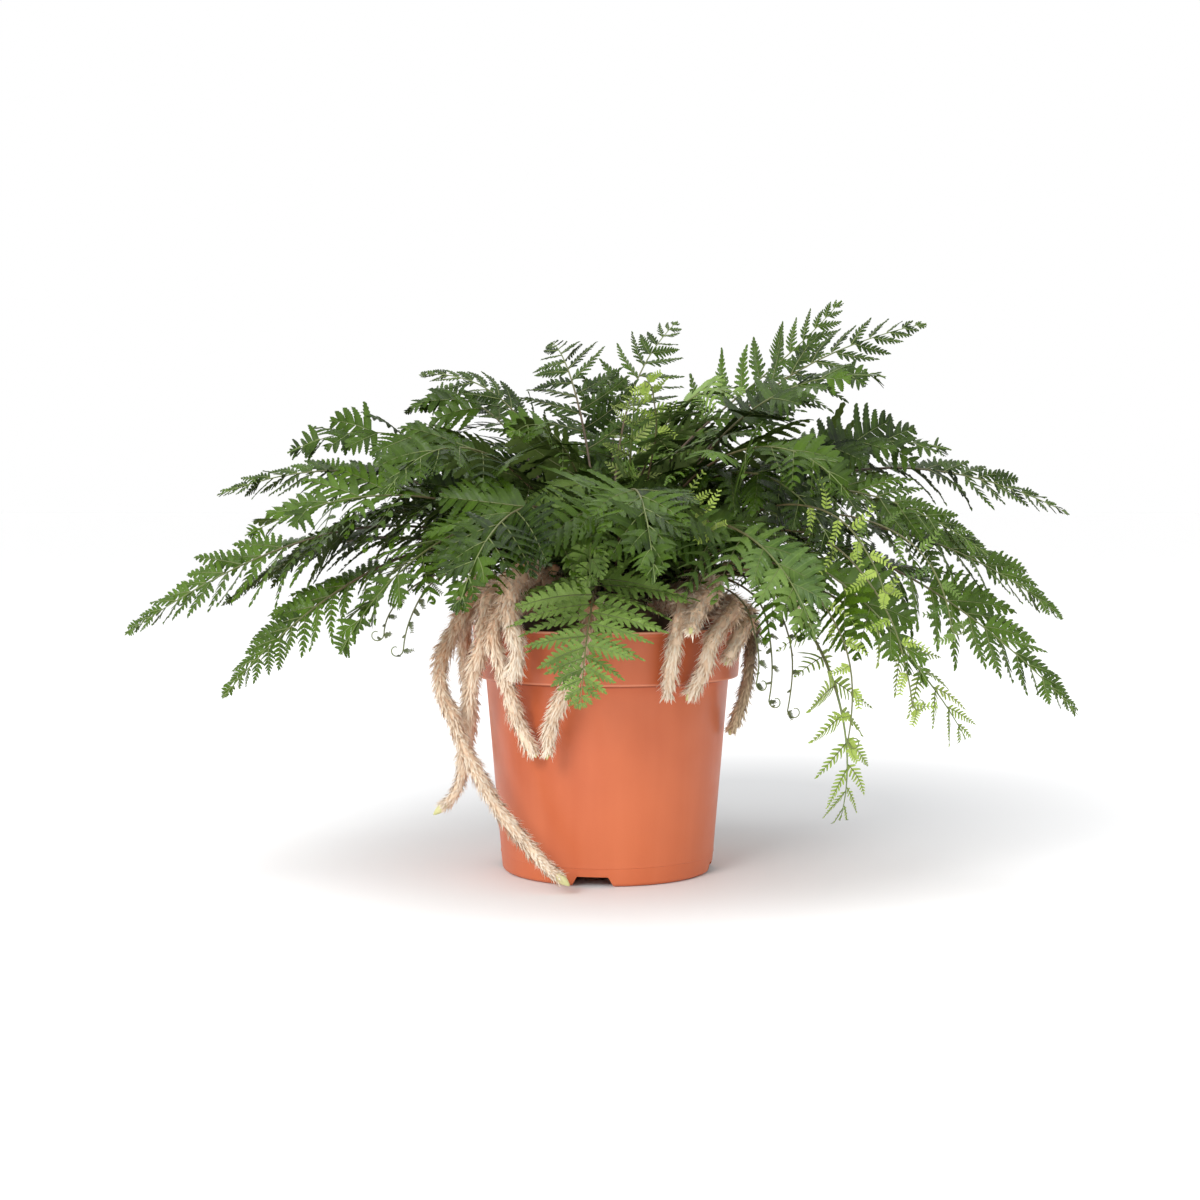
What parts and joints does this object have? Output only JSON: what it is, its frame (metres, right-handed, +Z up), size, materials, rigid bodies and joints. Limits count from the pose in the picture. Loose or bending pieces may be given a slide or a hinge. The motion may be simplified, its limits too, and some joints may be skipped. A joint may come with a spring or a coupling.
{
  "type": "potted fern",
  "caption": "Fern with arching, finely cut fronds and furry creeping stems that hang over the rim of a round tapered plastic nursery pot.",
  "frame": {"origin": "on the surface the pot stands on, under the pot's axis", "axes": "+Z up along the pot's axis, -Y towards the side seen in the picture, +X to the right as seen from there"},
  "size_m": [0.5966, 0.4537, 0.3661],
  "materials": {
    "pot": "satin terracotta-coloured plastic",
    "mix": "dark crumbly potting mix",
    "mat": "matted brown stems and scales",
    "rhizome": "soft tan hair-like scales",
    "mature": "glossy dark green leaf",
    "fresh": "glossy mid green leaf",
    "young": "soft lime green leaf"
  },
  "bodies": {
    "root": {"frond_01": "mature", "frond_02": "mature", "frond_03": "mature", "frond_04": "mature", "frond_05": "mature", "frond_06": "mature", "frond_07": "young", "frond_08": "young", "frond_09": "fresh", "frond_10": "mature", "frond_11": "mature", "frond_12": "mature", "frond_13": "mature", "frond_14": "mature", "frond_15": "mature", "frond_16": "mature", "frond_17": "mature", "frond_18": "mature", "frond_19": "mature", "frond_20": "mature", "frond_21": "mature", "frond_22": "mature", "frond_23": "mature", "frond_24": "mature", "frond_25": "fresh", "frond_26": "fresh", "frond_27": "mature", "frond_28": "fresh", "frond_29": "mature", "frond_30": "mature", "frond_31": "mature", "frond_32": "young", "frond_33": "mature", "frond_34": "mature", "frond_35": "mature", "frond_36": "mature", "frond_37": "mature", "frond_38": "mature", "frond_39": "mature", "frond_40": "mature", "frond_41": "mature", "frond_42": "mature", "frond_43": "mature", "pot": "pot", "potting_mix": "mix", "rhizome_mat": "mat", "rhizome_left_long": "rhizome", "rhizome_left_forked": "rhizome", "rhizome_left_inner": "rhizome", "rhizome_left_thick": "rhizome", "rhizome_front_hidden": "rhizome", "rhizome_front_right": "rhizome", "rhizome_front_right_stub": "rhizome", "rhizome_right_front": "rhizome", "rhizome_right_stub": "rhizome", "rhizome_right_outer": "rhizome", "rhizome_right_arching": "rhizome", "rhizome_back_right": "rhizome", "rhizome_back_middle": "rhizome", "rhizome_back_far_left": "rhizome"}
  },
  "joints": []
}
